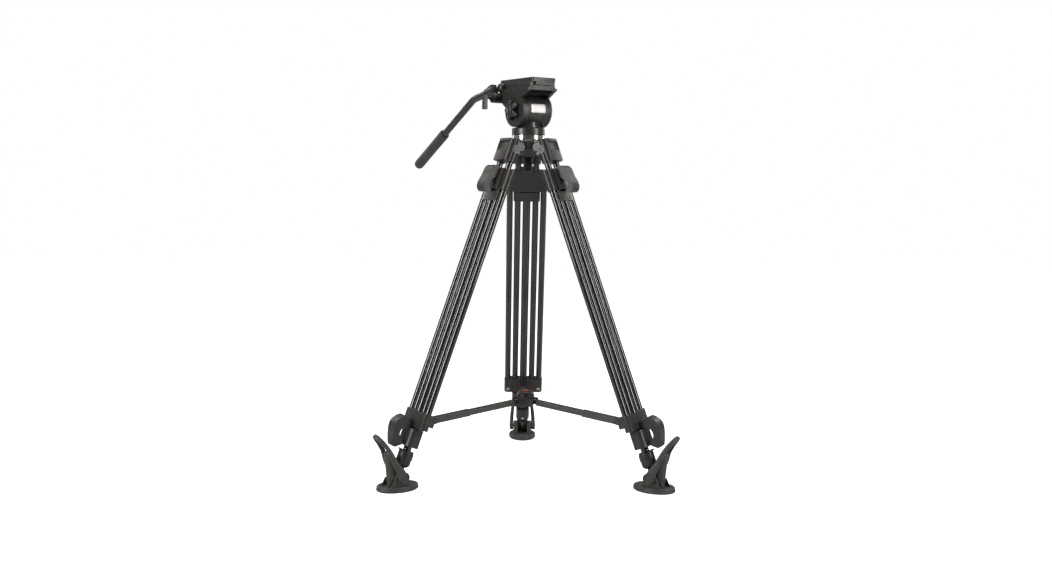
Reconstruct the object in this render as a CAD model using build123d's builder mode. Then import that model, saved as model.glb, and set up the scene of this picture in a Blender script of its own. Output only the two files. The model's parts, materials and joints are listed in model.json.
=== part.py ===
"""Video tripod with a fluid head: twin-tube carbon legs, mid-level spreader and swivel feet.

Millimetres, +Z up, the floor at Z = 0 and the middle of the footprint at X = Y = 0.
The rear leg points along +Y. Each leg is modelled once in its own frame and placed three times.
"""

from build123d import *
from math import cos, radians, sin
import os

os.makedirs("parts", exist_ok=True)

# ---------------------------------------------------------------- driving dimensions

# Legs: the hinge is the origin of the leg's own frame, whose Z runs up along the leg,
# whose X points outward and whose Y is tangential.
LEG_AZIMUTHS = {"rear": 90.0, "left": 210.0, "right": 330.0}
LEG_SPLAY = 21.0
HINGE_RADIUS = 54.0
HINGE_HEIGHT = 818.0
RUNNING_GAP = 0.06
SLIDING_GAP = 0.3
GLUE_GAP = 0.02

HINGE_PIN_R = 4.0
LUG_R = 11.0
LUG_HALF_WIDTH = 13.5

TUBE_R = 8.0
TUBE_WALL = 1.4
INNER_TUBE_Y = 23.25
OUTER_TUBE_Y = 44.0
CENTRE_TUBE_R = 10.0

# Stations along the leg, measured down from the hinge.
SHOULDER_TOP = -23.0
SHOULDER_BOTTOM = 34.0
INNER_TUBE_TOP = 10.0
INNER_TUBE_BOTTOM = 678.0
UPPER_CLAMP_TOP = 55.0
UPPER_CLAMP_BOTTOM = 109.0
GUIDE_TOP = 112.0
GUIDE_BOTTOM = 137.0
BAND_TOP = 679.0
BAND_BOTTOM = 719.0
COLLAR_TOP = 722.0
COLLAR_BOTTOM = 766.0
TIP_TOP = 778.0
TIP_BOTTOM = 818.0
SPIKE_END = 852.0

SHOULDER_WALL_R = 12.0
SHOULDER_FACE_X = 21.0
SHOULDER_HALF_WIDTH = 35.0
BOLT_CAP_R = 10.5
CLAMP_HALF_DEPTH = 11.0
BAND_HALF_DEPTH = 12.0
BAND_HALF_WIDTH = 53.5
COLLAR_HALF_WIDTH = 31.0
TIP_R = 18.5

# Cam levers: where the barrels turn, in the leg's frame.
UPPER_LEVER_X = 28.0
UPPER_LEVER_STATION = 66.0
LOWER_LEVER_X = 26.0
LOWER_LEVER_STATION = 712.0
BARREL_R = 7.0
EAR_Y = 12.0
EAR_HALF = 2.4
EAR_REACH = 18.0

# Feet: the foot's own frame is upright, with X outward and the origin on the swivel pin.
FOOT_STATION = 838.0
PAD_SHIFT = 3.2
PAD_LENGTH = 106.0
PAD_WIDTH = 77.0
PAD_THICKNESS = 12.5
YOKE_INNER = 14.0
YOKE_OUTER = 25.0
PIVOT_DISC_R = 13.0
PIVOT_PIN_R = 5.0
STRAP_OUTER = 36.5

# Spreader: the arm's own frame starts at the bracket pin, with X towards the hub.
BRACKET_STATION = 690.0
BRACKET_X = -42.0
HUB_PIN_RADIUS = 24.0
HUB_PIN_HEIGHT = 181.0
ARM_WIDTH = 15.0
ARM_HEIGHT = 17.0
ARM_WALL = 1.0
ARM_GAP = 0.2
ARM_BEVEL = 2.5
OUTER_ARM_END = 98.0
MID_ARM_START = 69.0
MID_ARM_END = 229.0
INNER_ARM_START = 75.0
EYE_R = 7.0
EYE_PIN_R = 2.5
HUB_R = 23.0

# Head: its own frame is centred on the tilt axis, X along the axis and Y to the back.
HEAD_TURN = 33.7
TILT_HEIGHT = 914.0
BALL_CENTRE = 843.0
BALL_R = 37.2
CROWN_TOP = 838.0
CROWN_BOTTOM = 803.0
CROWN_R = 42.5
BAND_LOW = 840.5
BAND_HIGH = 854.0
PAN_BASE_HIGH = 872.0
DRUM_R = 39.5
CHEEK_R = 41.0
CHEEK_INNER = 34.6
CHEEK_OUTER = 43.0
RECEIVER_LOW = 48.0
RECEIVER_HIGH = 67.0
RECEIVER_HALF = 37.0
CHANNEL_LOW = 60.0
PLATE_HIGH = 78.0
STUD_TOP = 82.0
STUD_R = 3.175
PLATE_FRONT = -66.0
PLATE_BACK = 77.0
PLATE_WIDTH = 70.0
ROSETTE_Y = 61.0
ROSETTE_Z = 32.0
ROSETTE_R = 12.0
KNOB_Y = 60.0
KNOB_Z = 58.0
BAR_X = -53.0
BAR_R = 9.0
BAR_START = (75.0, 53.0)
BAR_BEND = (173.0, 35.0)
BAR_END = (459.0, -129.5)
GRIP_R = 13.5
GRIP_LENGTH = 172.0
GRIP_OVERHANG = 10.0


# ---------------------------------------------------------------- frames

def polar(radius, azimuth, height):
    angle = radians(azimuth)
    return Vector(radius * cos(angle), radius * sin(angle), height)


def leg_frame(azimuth):
    """X outward, Z up along the leg, origin on the hinge pin."""
    outward = polar(cos(radians(LEG_SPLAY)), azimuth, sin(radians(LEG_SPLAY)))
    upward = polar(-sin(radians(LEG_SPLAY)), azimuth, cos(radians(LEG_SPLAY)))
    return Plane(origin=polar(HINGE_RADIUS, azimuth, HINGE_HEIGHT), x_dir=outward, z_dir=upward)


def leg_point(azimuth, x, station):
    return leg_frame(azimuth).from_local_coords(Vector(x, 0, -station))


def foot_frame(azimuth):
    """Upright, X outward, origin on the swivel pin."""
    centre = leg_point(azimuth, 0, FOOT_STATION)
    return Plane(origin=centre, x_dir=polar(1, azimuth, 0), z_dir=(0, 0, 1))


def arm_frame(azimuth):
    """X from the bracket pin to the hub pin, Z upward."""
    start = leg_point(azimuth, BRACKET_X, BRACKET_STATION)
    along = polar(HUB_PIN_RADIUS, azimuth, HUB_PIN_HEIGHT) - start
    side = polar(1, azimuth - 90, 0)
    return Plane(origin=start, x_dir=along, z_dir=along.cross(side))


ARM_LENGTH = (polar(HUB_PIN_RADIUS, 0, HUB_PIN_HEIGHT) - leg_point(0, BRACKET_X, BRACKET_STATION)).length
FLOOR_DROP = foot_frame(0).origin.Z
HEAD_FRAME = Plane(origin=(0, 0, TILT_HEIGHT), x_dir=polar(1, HEAD_TURN, 0), z_dir=(0, 0, 1))
UPRIGHT = Plane.XY

placed = {}


def place(name, piece, frame):
    placed[name] = piece.moved(frame.location)


def place_on_legs(name, piece, frame_of):
    for leg, azimuth in LEG_AZIMUTHS.items():
        place(f"{name}_{leg}", piece, frame_of(azimuth))


def block(x0, x1, y0, y1, z0, z1, mode=Mode.ADD):
    """A box given by its limits, in the current part."""
    with Locations(((x0 + x1) / 2, (y0 + y1) / 2, (z0 + z1) / 2)):
        Box(x1 - x0, y1 - y0, z1 - z0, mode=mode)


def upright_rod(x, y, z0, z1, radius, mode=Mode.ADD):
    with Locations((x, y, (z0 + z1) / 2)):
        Cylinder(radius, z1 - z0, mode=mode)


def cross_rod(x, z, y0, y1, radius, mode=Mode.ADD):
    """A cylinder along Y."""
    with Locations(Location((x, (y0 + y1) / 2, z), (90, 0, 0))):
        Cylinder(radius, y1 - y0, mode=mode)


def long_rod(y, z, x0, x1, radius, mode=Mode.ADD):
    """A cylinder along X."""
    with Locations(Location(((x0 + x1) / 2, y, z), (0, 90, 0))):
        Cylinder(radius, x1 - x0, mode=mode)


def side_profile(points, y0, y1, mode=Mode.ADD):
    """A closed outline of X and Z points, extruded along Y from y0 to y1."""
    with BuildSketch(Plane(origin=(0, y0, 0), x_dir=(1, 0, 0), z_dir=(0, -1, 0))) as outline:
        with BuildLine():
            Polyline(*points, close=True)
        make_face()
    extrude(outline.sketch, amount=-(y1 - y0), mode=mode)


# ---------------------------------------------------------------- leg, upper stage

with BuildPart() as shoulder:
    for side in (-1, 1):
        upright_rod(0, side * INNER_TUBE_Y, -SHOULDER_BOTTOM, -SHOULDER_TOP, SHOULDER_WALL_R)
    block(-8, 19, -27, 27, -SHOULDER_BOTTOM, -12.5)
    block(8, SHOULDER_FACE_X, -SHOULDER_HALF_WIDTH, SHOULDER_HALF_WIDTH, -SHOULDER_BOTTOM, -SHOULDER_TOP - 1)
    fillet(shoulder.edges().filter_by(Axis.Z).sort_by(Axis.X)[-2:], 5)
    # caps over the ends of the hinge bolt
    for side in (-1, 1):
        cross_rod(-9, 10, *sorted((side * 22, side * (SHOULDER_HALF_WIDTH + 0.25))), BOLT_CAP_R)
        cross_rod(0, 0, *sorted((side * 22, side * (SHOULDER_HALF_WIDTH + 0.25))), BOLT_CAP_R)
    # space for the crown's lug, and the window in the outer wall
    block(-30, 12, -LUG_HALF_WIDTH - 0.5, LUG_HALF_WIDTH + 0.5, -12.5, 40, Mode.SUBTRACT)
    block(5, 30, -17.5, 17.5, -7, 15, Mode.SUBTRACT)
    # the bowl stands inside the ring of shoulders
    bowl_axis = leg_frame(0).to_local_coords(Vector(0, 0, HINGE_HEIGHT))
    with BuildSketch(Plane(origin=bowl_axis, z_dir=(sin(radians(LEG_SPLAY)), 0, cos(radians(LEG_SPLAY))))):
        Circle(CROWN_R + 1)
    extrude(amount=60, both=True, mode=Mode.SUBTRACT)
    for side in (-1, 1):
        upright_rod(0, side * INNER_TUBE_Y, -SHOULDER_BOTTOM - 1, -INNER_TUBE_TOP, TUBE_R + GLUE_GAP, Mode.SUBTRACT)
    cross_rod(0, 0, -40, 40, HINGE_PIN_R + RUNNING_GAP, Mode.SUBTRACT)
place_on_legs("shoulder", shoulder.part, leg_frame)

with BuildPart() as inner_tubes:
    for side in (-1, 1):
        upright_rod(0, side * INNER_TUBE_Y, -INNER_TUBE_BOTTOM, -INNER_TUBE_TOP, TUBE_R)
        upright_rod(0, side * INNER_TUBE_Y, -INNER_TUBE_BOTTOM, -INNER_TUBE_TOP, TUBE_R - TUBE_WALL,
                    Mode.SUBTRACT)
place_on_legs("inner_tubes", inner_tubes.part, leg_frame)

# ---------------------------------------------------------------- leg, middle stage


def lever_ear(side, pivot_x, pivot_z):
    """One of the two ears that hold a lever's barrel."""
    y0 = side * EAR_Y - EAR_HALF
    y1 = side * EAR_Y + EAR_HALF
    block(pivot_x - EAR_REACH, pivot_x, y0, y1, pivot_z - BARREL_R, pivot_z + BARREL_R)
    cross_rod(pivot_x, pivot_z, y0, y1, BARREL_R)


with BuildPart() as upper_clamp:
    block(-CLAMP_HALF_DEPTH, CLAMP_HALF_DEPTH, -OUTER_TUBE_Y, OUTER_TUBE_Y, -UPPER_CLAMP_BOTTOM,
          -UPPER_CLAMP_TOP)
    block(0, 16, -33, 33, -UPPER_CLAMP_BOTTOM, -UPPER_CLAMP_TOP)
    fillet(upper_clamp.edges().filter_by(Axis.Z).sort_by(Axis.X)[-2:], 4.5)
    # room for the lever's upper edge as it swings round the barrel
    cross_rod(UPPER_LEVER_X, -UPPER_LEVER_STATION, -19.8, 19.8, 16.4, Mode.SUBTRACT)
    for side in (-1, 1):
        upright_rod(0, side * OUTER_TUBE_Y, -UPPER_CLAMP_BOTTOM, -UPPER_CLAMP_TOP, CLAMP_HALF_DEPTH)
        lever_ear(side, UPPER_LEVER_X, -UPPER_LEVER_STATION)
    cross_rod(UPPER_LEVER_X, -UPPER_LEVER_STATION, -20, 20, 2.5 + RUNNING_GAP, Mode.SUBTRACT)
    for side in (-1, 1):
        upright_rod(0, side * OUTER_TUBE_Y, -UPPER_CLAMP_BOTTOM - 1, -UPPER_CLAMP_TOP - 4,
                    TUBE_R + GLUE_GAP, Mode.SUBTRACT)
        upright_rod(0, side * INNER_TUBE_Y, -UPPER_CLAMP_BOTTOM - 1, -UPPER_CLAMP_TOP + 1,
                    TUBE_R + SLIDING_GAP, Mode.SUBTRACT)
place_on_legs("upper_clamp", upper_clamp.part, leg_frame)

with BuildPart() as outer_tubes:
    for side in (-1, 1):
        upright_rod(0, side * OUTER_TUBE_Y, -BAND_BOTTOM + 7, -UPPER_CLAMP_TOP - 4, TUBE_R)
        upright_rod(0, side * OUTER_TUBE_Y, -BAND_BOTTOM + 7, -UPPER_CLAMP_TOP - 4, TUBE_R - TUBE_WALL,
                    Mode.SUBTRACT)
place_on_legs("outer_tubes", outer_tubes.part, leg_frame)

with BuildPart() as lower_clamp:
    with BuildSketch(Plane.XY.offset(-BAND_BOTTOM)):
        RectangleRounded(2 * BAND_HALF_DEPTH, 2 * BAND_HALF_WIDTH, 9.4)
    extrude(amount=BAND_BOTTOM - BAND_TOP)
    # collar round the centre tube, on a narrower neck
    with BuildSketch(Plane.XY.offset(-COLLAR_BOTTOM)):
        with Locations((2, 0)):
            RectangleRounded(36, 2 * COLLAR_HALF_WIDTH, 14)
    extrude(amount=COLLAR_BOTTOM - COLLAR_TOP)
    upright_rod(0, 0, -COLLAR_TOP - 1, -BAND_BOTTOM + 1, 15)
    for side in (-1, 1):
        lever_ear(side, LOWER_LEVER_X, -LOWER_LEVER_STATION)
        # fork for the spreader arm
        block(BRACKET_X, -CLAMP_HALF_DEPTH + 2, side * 11 - 1.8, side * 11 + 1.8, -BRACKET_STATION - 20,
              -BRACKET_STATION + 8)
        cross_rod(BRACKET_X, -BRACKET_STATION, side * 11 - 1.8, side * 11 + 1.8, 8)
    cross_rod(BRACKET_X, -BRACKET_STATION, -20, 20, EYE_PIN_R + RUNNING_GAP, Mode.SUBTRACT)
    cross_rod(LOWER_LEVER_X, -LOWER_LEVER_STATION, -20, 20, 2.5 + RUNNING_GAP, Mode.SUBTRACT)
    upright_rod(0, 0, -COLLAR_BOTTOM - 1, -BAND_TOP + 1, CENTRE_TUBE_R + SLIDING_GAP, Mode.SUBTRACT)
    for side in (-1, 1):
        upright_rod(0, side * OUTER_TUBE_Y, -BAND_BOTTOM + 7, -BAND_TOP + 1, TUBE_R + GLUE_GAP,
                    Mode.SUBTRACT)
place_on_legs("lower_clamp", lower_clamp.part, leg_frame)


def lever(outline, pivot_x, pivot_z, half_width):
    """A hooked cam lever round its barrel: the hook leaves a gap for a finger."""
    with BuildPart() as wing:
        with BuildSketch(Plane(origin=(0, half_width, 0), x_dir=(1, 0, 0), z_dir=(0, -1, 0))):
            with BuildLine():
                Spline(*outline, periodic=True)
            make_face()
        extrude(amount=2 * half_width)
        # slots that clear the clamp's ears as the lever swings outward
        reach = BARREL_R + 0.8
        for side in (-1, 1):
            y0 = side * EAR_Y - EAR_HALF - 0.6
            y1 = side * EAR_Y + EAR_HALF + 0.6
            cross_rod(pivot_x, pivot_z, y0, y1, reach, Mode.SUBTRACT)
            block(pivot_x - EAR_REACH - 2, pivot_x + reach, y0, y1, pivot_z - reach, pivot_z + EAR_REACH + 2,
                  Mode.SUBTRACT)
        cross_rod(pivot_x, pivot_z, -8.8, 8.8, BARREL_R)
        cross_rod(pivot_x, pivot_z, -EAR_Y - 2, EAR_Y + 2, 2.5)
    return wing.part


UPPER_WING = [(30, -53), (36.5, -58), (40.5, -80), (45, -106), (43, -115), (35, -123), (24, -121), (20, -117),
              (24, -113), (32, -106), (34, -99), (29, -90), (20, -81), (17, -70), (18, -58), (24, -52)]
LOWER_WING = [(43, -699), (54, -708), (61, -720), (60, -740), (52, -764), (44, -776), (33, -770), (25, -763),
              (27, -757), (36, -751), (41, -740), (39, -730), (31, -723), (22, -720), (20, -712), (23, -705),
              (32, -700)]

place_on_legs("upper_lever", lever(UPPER_WING, UPPER_LEVER_X, -UPPER_LEVER_STATION, 19), leg_frame)
place_on_legs("lower_lever", lever(LOWER_WING, LOWER_LEVER_X, -LOWER_LEVER_STATION, 16), leg_frame)

# ---------------------------------------------------------------- leg, lower stage

with BuildPart() as centre_tube:
    block(-10, 10, -34.5, 34.5, -GUIDE_BOTTOM, -GUIDE_TOP)
    upright_rod(0, 0, -TIP_TOP - 16, -GUIDE_TOP, CENTRE_TUBE_R)
    upright_rod(0, 0, -TIP_TOP - 16, -GUIDE_BOTTOM, CENTRE_TUBE_R - TUBE_WALL, Mode.SUBTRACT)
    for side in (-1, 1):
        upright_rod(0, side * INNER_TUBE_Y, -GUIDE_BOTTOM - 1, -GUIDE_TOP + 1, TUBE_R + SLIDING_GAP,
                    Mode.SUBTRACT)
place_on_legs("centre_tube", centre_tube.part, leg_frame)

with BuildPart() as leg_tip:
    with BuildSketch(Plane.XZ):
        with BuildLine():
            Polyline((0, -TIP_TOP), (TIP_R - 1.5, -TIP_TOP), (TIP_R, -TIP_TOP - 1.5), (TIP_R, -TIP_BOTTOM + 8),
                     (TIP_R - 6, -TIP_BOTTOM), (8, -TIP_BOTTOM - 1), (8, -TIP_BOTTOM - 5),
                     (9, -TIP_BOTTOM - 5), (9, -TIP_BOTTOM - 8), (6, -TIP_BOTTOM - 9),
                     (6, -SPIKE_END + 16), (0.6, -SPIKE_END), (0, -SPIKE_END), close=True)
        make_face()
    revolve(axis=Axis.Z)
    upright_rod(0, 0, -TIP_TOP - 16, -TIP_TOP + 1, CENTRE_TUBE_R + GLUE_GAP, Mode.SUBTRACT)
place_on_legs("leg_tip", leg_tip.part, leg_frame)

# ---------------------------------------------------------------- foot

POST_TILT = 5.8

with BuildPart() as foot:
    with BuildSketch(Plane.XY.offset(-FLOOR_DROP)):
        with Locations((PAD_SHIFT, 0)):
            Ellipse(PAD_LENGTH / 2, PAD_WIDTH / 2)
    extrude(amount=PAD_THICKNESS)
    fillet(foot.edges().sort_by(Axis.Z)[-1], 4)
    chamfer(foot.edges().sort_by(Axis.Z)[0], 1)
    pad_top = PAD_THICKNESS - FLOOR_DROP
    for side in (-1, 1):
        y0, y1 = sorted((side * YOKE_INNER, side * YOKE_OUTER))
        side_profile([(-17, pad_top - 1), (30, pad_top - 1), (12, 5), (8, 10), (-8, 10), (-13, 3)], y0, y1)
        cross_rod(0, 0, y0, y1, PIVOT_DISC_R)
        cross_rod(0, 0, *sorted((side * YOKE_INNER, side * (STRAP_OUTER + 1))), PIVOT_PIN_R)
    # half-round post behind the spike, open towards the leg
    with BuildSketch(Plane(origin=(12.2, 0, pad_top - 1), z_dir=(sin(radians(POST_TILT)), 0, cos(radians(POST_TILT))))):
        Circle(16)
        Circle(12.5, mode=Mode.SUBTRACT)
        with Locations((-9, 0)):
            Rectangle(22, 40, mode=Mode.SUBTRACT)
    extrude(amount=84)
    for side in (-1, 1):
        y0, y1 = sorted((side * 13, side * 16))
        side_profile([(20, pad_top - 1), (40, pad_top - 1), (28, pad_top + 16), (20, pad_top + 16)], y0, y1)
place_on_legs("foot", foot.part, foot_frame)

with BuildPart() as strap:
    # side view: a banana-shaped arm rising from the pivot disc
    with BuildSketch(Plane(origin=(0, -STRAP_OUTER, 0), x_dir=(1, 0, 0), z_dir=(0, -1, 0))):
        with BuildLine():
            Spline((-12, 4), (-1, 18), (11, 34), (21, 57), (31, 76), (46, 92), (58, 104), (64, 98), (58, 86),
                   (45, 76), (34, 56), (28, 34), (20, 14), (13, 0), (4, -6), periodic=True)
        make_face()
    extrude(amount=-2 * STRAP_OUTER)
    cross_rod(0, 0, -STRAP_OUTER, STRAP_OUTER, PIVOT_DISC_R)
    # front view: the two arms close in towards the loop's round end
    with BuildSketch(Plane.YZ.offset(-40)):
        with BuildLine():
            Polyline((-STRAP_OUTER, -20), (STRAP_OUTER, -20), (STRAP_OUTER, 20), (25, 96), (12, 108), (-12, 108),
                     (-25, 96), (-STRAP_OUTER, 20), close=True)
        make_face()
        with BuildLine():
            Polyline((-25.6, -20), (25.6, -20), (25.6, 20), (16, 88), (8, 97), (-8, 97), (-16, 88), (-25.6, 20),
                     close=True)
        make_face(mode=Mode.SUBTRACT)
    extrude(amount=140, mode=Mode.INTERSECT)
    cross_rod(0, 0, -50, 50, PIVOT_PIN_R + RUNNING_GAP, Mode.SUBTRACT)
place_on_legs("strap", strap.part, foot_frame)

# ---------------------------------------------------------------- spreader


def arm_section(x0, x1, width, height, wall):
    """A tube along X with bevelled top edges; a wall of 0 makes a solid bar."""
    with BuildSketch(Plane.YZ.offset(x0)) as section:
        for inset in (0, wall) if wall else (0,):
            half = width / 2 - inset
            top = height / 2 - inset
            with BuildLine():
                Polyline((-half, -top), (half, -top), (half, top - ARM_BEVEL), (half - ARM_BEVEL, top),
                         (ARM_BEVEL - half, top), (-half, top - ARM_BEVEL), close=True)
            make_face(mode=Mode.SUBTRACT if inset else Mode.ADD)
    extrude(section.sketch, amount=x1 - x0)


MID_STEP = 2 * (ARM_WALL + ARM_GAP)

with BuildPart() as arm_outer:
    arm_section(-7, OUTER_ARM_END, ARM_WIDTH, ARM_HEIGHT, ARM_WALL)
    for side in (-1, 1):
        cross_rod(0, 0, *sorted((side * (ARM_WIDTH / 2 - 0.5), side * 12.6)), EYE_PIN_R)
place_on_legs("arm_outer", arm_outer.part, arm_frame)

with BuildPart() as arm_mid:
    arm_section(MID_ARM_START, MID_ARM_END, ARM_WIDTH - MID_STEP, ARM_HEIGHT - MID_STEP, ARM_WALL)
place_on_legs("arm_mid", arm_mid.part, arm_frame)

with BuildPart() as arm_inner:
    arm_section(INNER_ARM_START, ARM_LENGTH - 9, ARM_WIDTH - 2 * MID_STEP, ARM_HEIGHT - 2 * MID_STEP, 0)
    block(ARM_LENGTH - 10, ARM_LENGTH, -4.8, 4.8, -5, 5)
    cross_rod(ARM_LENGTH, 0, -4.8, 4.8, EYE_R)
    cross_rod(ARM_LENGTH, 0, -6, 6, EYE_PIN_R + RUNNING_GAP, Mode.SUBTRACT)
place_on_legs("arm_inner", arm_inner.part, arm_frame)

with BuildPart() as hub:
    upright_rod(0, 0, 8, 27, HUB_R)
    fillet(hub.edges().sort_by(Axis.Z)[-1], 14)
    # forks for the arms: the pin goes through the rear one only
    for azimuth, gap in ((90, 5.0), (210, 11.0), (330, 11.0)):
        with Locations(Location((0, 0, 0), (0, 0, azimuth))):
            with Locations((20, -gap - 1.3, 1.5), (20, gap + 1.3, 1.5)):
                Box(20, 2.6, 15)
            with Locations(Location((HUB_PIN_RADIUS, -gap - 3, 0), (90, 0, 0)),
                           Location((HUB_PIN_RADIUS, gap + 3, 0), (90, 0, 0))):
                Cylinder(4, 2)
    with Locations(Location((0, HUB_PIN_RADIUS, 0), (0, 90, 0))):
        Cylinder(EYE_PIN_R, 12)
place("spreader_hub", hub.part, Plane(origin=(0, 0, HUB_PIN_HEIGHT)))

# ---------------------------------------------------------------- crown

with BuildPart() as crown:
    with BuildSketch(Plane.XZ):
        with BuildLine():
            Polyline((0, CROWN_BOTTOM), (26, CROWN_BOTTOM), (CROWN_R, 818), (CROWN_R, CROWN_TOP - 2),
                     (CROWN_R - 2, CROWN_TOP), (0, CROWN_TOP), close=True)
        make_face()
    revolve(axis=Axis.Z)
    for azimuth in LEG_AZIMUTHS.values():
        with Locations(Location((0, 0, HINGE_HEIGHT), (0, 0, azimuth))):
            with Locations(((25 + HINGE_RADIUS) / 2, 0, 0)):
                Box(HINGE_RADIUS - 25, 2 * LUG_HALF_WIDTH, 2 * LUG_R)
            with Locations(Location((HINGE_RADIUS, 0, 0), (90, 0, 0))):
                Cylinder(LUG_R, 2 * LUG_HALF_WIDTH)
                Cylinder(HINGE_PIN_R + GLUE_GAP, 40, mode=Mode.SUBTRACT)
    # seat of the half ball and the hole for its stud
    with Locations((0, 0, BALL_CENTRE)):
        Sphere(BALL_R + SLIDING_GAP, mode=Mode.SUBTRACT)
    upright_rod(0, 0, CROWN_BOTTOM - 1, CROWN_TOP, 10, Mode.SUBTRACT)
place("crown", crown.part, UPRIGHT)

with BuildPart() as hinge_pins:
    for azimuth in LEG_AZIMUTHS.values():
        with Locations(Location((0, 0, HINGE_HEIGHT), (0, 0, azimuth))):
            with Locations(Location((HINGE_RADIUS, 0, 0), (90, 0, 0))):
                Cylinder(HINGE_PIN_R, 69)
place("hinge_pins", hinge_pins.part, UPRIGHT)

# ---------------------------------------------------------------- head base

with BuildPart() as half_ball:
    with Locations((0, 0, BALL_CENTRE)):
        Sphere(BALL_R)
    block(-50, 50, -50, 50, BAND_LOW + 0.5, BALL_CENTRE + 50, Mode.SUBTRACT)
    block(-50, 50, -50, 50, BALL_CENTRE - 50, 812, Mode.SUBTRACT)
    upright_rod(0, 0, BAND_LOW, BAND_HIGH, 40)
    chamfer(half_ball.edges().filter_by(GeomType.CIRCLE).group_by(SortBy.RADIUS)[-1], 1)
    upright_rod(0, 0, 782, 813, 6)
place("half_ball", half_ball.part, UPRIGHT)

with BuildPart() as level_knob:
    upright_rod(0, 0, 798, 801, 15)
    upright_rod(0, 0, 764, 798, 11.5)
    fillet(level_knob.edges().sort_by(Axis.Z)[0], 4)
    with PolarLocations(12.6, 8):
        with Locations((0, 0, 780)):
            Cylinder(2.6, 30, mode=Mode.SUBTRACT)
    upright_rod(0, 0, 781, 802, 6 + RUNNING_GAP, Mode.SUBTRACT)
place("level_knob", level_knob.part, UPRIGHT)

with BuildPart() as pan_base:
    upright_rod(0, 0, BAND_HIGH, PAN_BASE_HIGH, 41)
    fillet(pan_base.edges().sort_by(Axis.Z)[-1], 4)
    chamfer(pan_base.edges().sort_by(Axis.Z)[0], 1)
place("pan_base", pan_base.part, UPRIGHT)

# ---------------------------------------------------------------- head, on the tilt axis

with BuildPart() as head_body:
    long_rod(0, 0, -CHEEK_INNER + 0.6, CHEEK_INNER - 0.6, DRUM_R)
    for x in (-24, -20, 20, 24):
        long_rod(0, 0, x - 0.6, x + 0.6, DRUM_R + 1, Mode.SUBTRACT)
        long_rod(0, 0, x - 0.6, x + 0.6, DRUM_R - 1)
    with BuildSketch(Plane.XY.offset(PAN_BASE_HIGH + 0.3 - TILT_HEIGHT)):
        Circle(31)
    extrude(amount=24, taper=14)
    for side in (-1, 1):
        long_rod(0, 0, *sorted((side * 30, side * (CHEEK_OUTER - 0.3))), 8)
        long_rod(0, 0, *sorted((side * 25, side * CHEEK_OUTER)), 4 + RUNNING_GAP, Mode.SUBTRACT)
place("head_body", head_body.part, HEAD_FRAME)

CHEEK_OUTLINE = [(-58, RECEIVER_HIGH), (-60, RECEIVER_LOW), (-46, 30), (-39, 10), (0, 0), (40, 8), (56, 20),
                 (71, 36), (66, RECEIVER_LOW), (66, RECEIVER_HIGH)]


def dovetail(low, high, low_half, high_half, y0, y1, mode=Mode.ADD):
    """A bar along Y, wider at the bottom."""
    with BuildSketch(Plane(origin=(0, y0, 0), x_dir=(1, 0, 0), z_dir=(0, 1, 0))) as section:
        with BuildLine():
            Polyline((-low_half, -low), (low_half, -low), (high_half, -high), (-high_half, -high), close=True)
        make_face()
    extrude(section.sketch, amount=y1 - y0, mode=mode)


with BuildPart() as tilt_frame:
    # receiver tray with its dovetail channel
    block(-RECEIVER_HALF, RECEIVER_HALF, -58, 66, RECEIVER_LOW, RECEIVER_HIGH)
    dovetail(CHANNEL_LOW, RECEIVER_HIGH + 1, 26.4, 22.4, -70, 80, Mode.SUBTRACT)
    for side in (-1, 1):
        x0, x1 = sorted((side * CHEEK_INNER, side * CHEEK_OUTER))
        long_rod(0, 0, x0, x1, CHEEK_R)
        with BuildSketch(Plane.YZ.offset(x0)):
            with BuildLine():
                Polyline(*CHEEK_OUTLINE, close=True)
            make_face()
        extrude(amount=x1 - x0)
        long_rod(0, 0, x0 - 1, x1 + 1, 8 + RUNNING_GAP, Mode.SUBTRACT)
        block(*sorted((side * RECEIVER_HALF, side * 50)), -70, 80, CHANNEL_LOW - 6, 90, Mode.SUBTRACT)
    # boss for the pan handle, and the plate knob's thread
    long_rod(ROSETTE_Y, ROSETTE_Z, -CHEEK_OUTER - 2, -CHEEK_INNER, ROSETTE_R)
    long_rod(ROSETTE_Y, ROSETTE_Z, -50, -30, 3.5 + RUNNING_GAP, Mode.SUBTRACT)
    long_rod(KNOB_Y, KNOB_Z, -RECEIVER_HALF - 1, -28, 3 + RUNNING_GAP, Mode.SUBTRACT)
    long_rod(KNOB_Y, KNOB_Z, -CHEEK_OUTER - 1, -RECEIVER_HALF, 13, Mode.SUBTRACT)
    # the drum turns under the tray
    long_rod(0, 0, -CHEEK_INNER, CHEEK_INNER, DRUM_R + 1, Mode.SUBTRACT)
place("tilt_frame", tilt_frame.part, HEAD_FRAME)

with BuildPart() as star_knob:
    with BuildSketch(Plane.YZ.offset(-CHEEK_OUTER - 0.3)):
        Circle(17)
        with PolarLocations(17, 5, start_angle=35):
            Circle(8)
    extrude(amount=-15)
    fillet(star_knob.edges().group_by(Axis.X)[0], 2.5)
    long_rod(0, 0, -61, -55, 9)
    long_rod(0, 0, -CHEEK_OUTER - 1, -27, 4)
place("star_knob", star_knob.part, HEAD_FRAME)

with BuildPart() as brake_knob:
    long_rod(0, 0, CHEEK_OUTER + 0.3, CHEEK_OUTER + 9, 8.5)
    fillet(brake_knob.edges().sort_by(Axis.X)[-1], 2)
    long_rod(0, 0, 27, CHEEK_OUTER + 1, 4)
place("brake_knob", brake_knob.part, HEAD_FRAME)

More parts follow.
